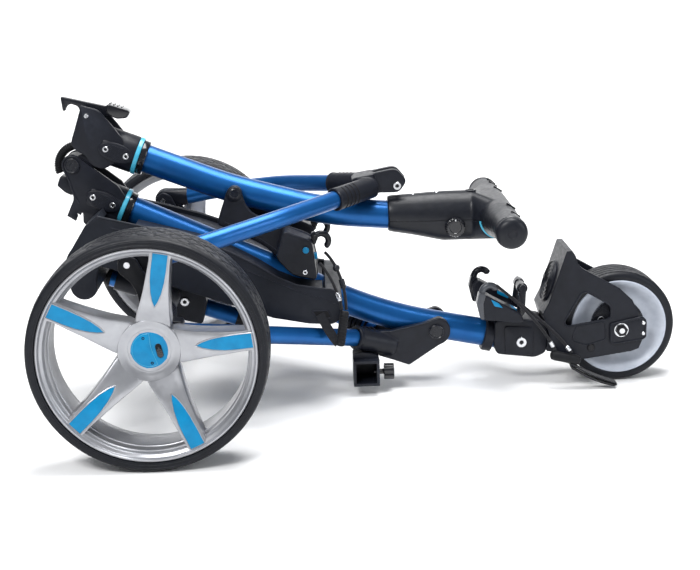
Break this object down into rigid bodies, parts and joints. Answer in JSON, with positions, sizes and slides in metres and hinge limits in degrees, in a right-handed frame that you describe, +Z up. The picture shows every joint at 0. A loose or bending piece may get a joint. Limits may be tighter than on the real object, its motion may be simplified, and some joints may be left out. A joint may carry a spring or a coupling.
{
  "type": "golf push cart",
  "caption": "Folding golf bag cart with spoked rear wheels, a front wheel in a fork, a hinged handle with a cross bar grip, swinging stays and bag cradles.",
  "frame": {"origin": "on the floor under the middle of the folded cart", "axes": "+X from the hinge end to the front wheel, +Y across the cart, +Z up"},
  "size_m": [0.8964, 0.66, 0.4425],
  "materials": {
    "blue_tube": "satin anodised metallic blue",
    "black_casting": "fine moulded texture",
    "black_satin": "satin moulded",
    "cyan_trim": "satin",
    "cyan_ring": "satin",
    "wheel_silver": "silver satin paint",
    "front_rim": "pale grey moulded",
    "tyre": "matte rubber",
    "steel": "bright zinc",
    "rubber": "matte",
    "webbing": "woven polyester",
    "grip": "soft-touch",
    "dark_steel": "black oxide"
  },
  "bodies": {
    "main_frame": {"main_tube": "blue_tube", "lower_hinge_bracket": "black_casting", "lower_pads": "black_casting", "lower_ring": "cyan_ring", "hinge_pin": "dark_steel", "frame_screws": "steel", "battery_housing": "black_satin", "battery_deck": "black_satin", "battery_pack": "black_satin", "upper_cradle": "black_casting", "upper_cradle_clips": "black_satin", "cradle_inserts": "cyan_trim", "front_bracket": "black_casting", "front_cradle": "black_casting", "front_cradle_clips": "black_satin", "fork": "black_casting", "axle_adjusters": "black_casting", "front_axle": "steel", "leg_pin": "dark_steel", "cable_conduit": "rubber", "rear_bungee_cords": "rubber", "rear_bungee_handle": "rubber", "front_bungee_cords": "rubber", "front_bungee_handle": "rubber", "pull_tab": "webbing"},
    "front_wheel": {"front_rim": "front_rim", "front_tyre": "tyre"},
    "handle": {"handle_tube": "blue_tube", "upper_hinge_bracket": "black_casting", "upper_pads": "black_casting", "upper_ring": "cyan_ring", "grip_lower_shell": "grip", "grip_upper_shell": "grip", "bar_end_caps": "grip", "handle_screws": "steel"},
    "latch": {"latch_lever": "grip"},
    "knob": {"speed_knob": "grip"},
    "leg_frame": {"leg_bracket": "black_casting", "leg_tubes": "blue_tube", "axle_tube": "steel", "motor_housings": "black_casting", "spur_tube": "blue_tube", "spur_fittings": "black_casting", "accessory_socket": "black_casting", "rear_axle": "steel"},
    "clamp_screw": {"thumb_screw": "grip"},
    "stays": {"stay_tubes": "blue_tube", "stay_bracket": "black_casting", "stay_ends": "black_casting"},
    "near_wheel": {"near_tyre": "tyre", "near_rim": "wheel_silver", "near_wheel_trim": "cyan_trim"},
    "near_slider": {"near_release": "black_satin"},
    "far_wheel": {"far_tyre": "tyre", "far_rim": "wheel_silver", "far_wheel_trim": "cyan_trim"},
    "far_slider": {"far_release": "black_satin"}
  },
  "joints": [
    {"name": "handle_fold", "type": "hinge", "parent": "main_frame", "child": "handle", "pos_m": [-0.41845, 0, 0.3468], "axis": [0, -1, 0], "range_deg": [0, 170], "deforming": ["cable_conduit"]},
    {"name": "stay_swing", "type": "hinge", "parent": "leg_frame", "child": "stays", "pos_m": [-0.31875, 0, 0.2512], "axis": [0, -1, 0], "range_deg": [0, 230.2]},
    {"name": "leg_fold", "type": "hinge", "parent": "main_frame", "child": "leg_frame", "pos_m": [0.09525, 0, 0.0868], "axis": [0, -1, 0], "range_deg": [0, 10.2]},
    {"name": "latch_press", "type": "hinge", "parent": "handle", "child": "latch", "pos_m": [-0.39325, 0, 0.4165], "axis": [0, 1, 0], "range_deg": [0, 9], "stiffness_Nm_per_rad": 0.6, "springref_deg": -2.86},
    {"name": "speed_dial", "type": "hinge", "parent": "handle", "child": "knob", "pos_m": [0.12475, -0.028, 0.2415], "axis": [0, -1, 0], "range_deg": [0, 270]},
    {"name": "clamp_turn", "type": "hinge", "parent": "leg_frame", "child": "clamp_screw", "pos_m": [0.00975, -0.038, 0.0295], "axis": [1, 0, 0], "continuous": true},
    {"name": "front_wheel_spin", "type": "hinge", "parent": "main_frame", "child": "front_wheel", "pos_m": [0.36525, 0, 0.083], "axis": [0, 1, 0], "continuous": true},
    {"name": "near_wheel_spin", "type": "hinge", "parent": "leg_frame", "child": "near_wheel", "pos_m": [-0.29025, -0.2925, 0.1525], "axis": [0, 1, 0], "continuous": true},
    {"name": "far_wheel_spin", "type": "hinge", "parent": "leg_frame", "child": "far_wheel", "pos_m": [-0.29025, 0.2925, 0.1525], "axis": [0, 1, 0], "continuous": true},
    {"name": "near_release_slide", "type": "slide", "parent": "near_wheel", "child": "near_slider", "axis": [-0.2079, 0, 0.9781], "range_m": [0, 0.0052], "stiffness_N_per_m": 60, "springref_m": -0.001},
    {"name": "far_release_slide", "type": "slide", "parent": "far_wheel", "child": "far_slider", "axis": [-0.2079, 0, 0.9781], "range_m": [0, 0.0052], "stiffness_N_per_m": 60, "springref_m": -0.001}
  ],
  "couplings": [
    {"joint": "stay_swing", "follows": "handle_fold", "ratio": 1.3529},
    {"joint": "leg_fold", "follows": "handle_fold", "ratio": 0.058824}
  ]
}
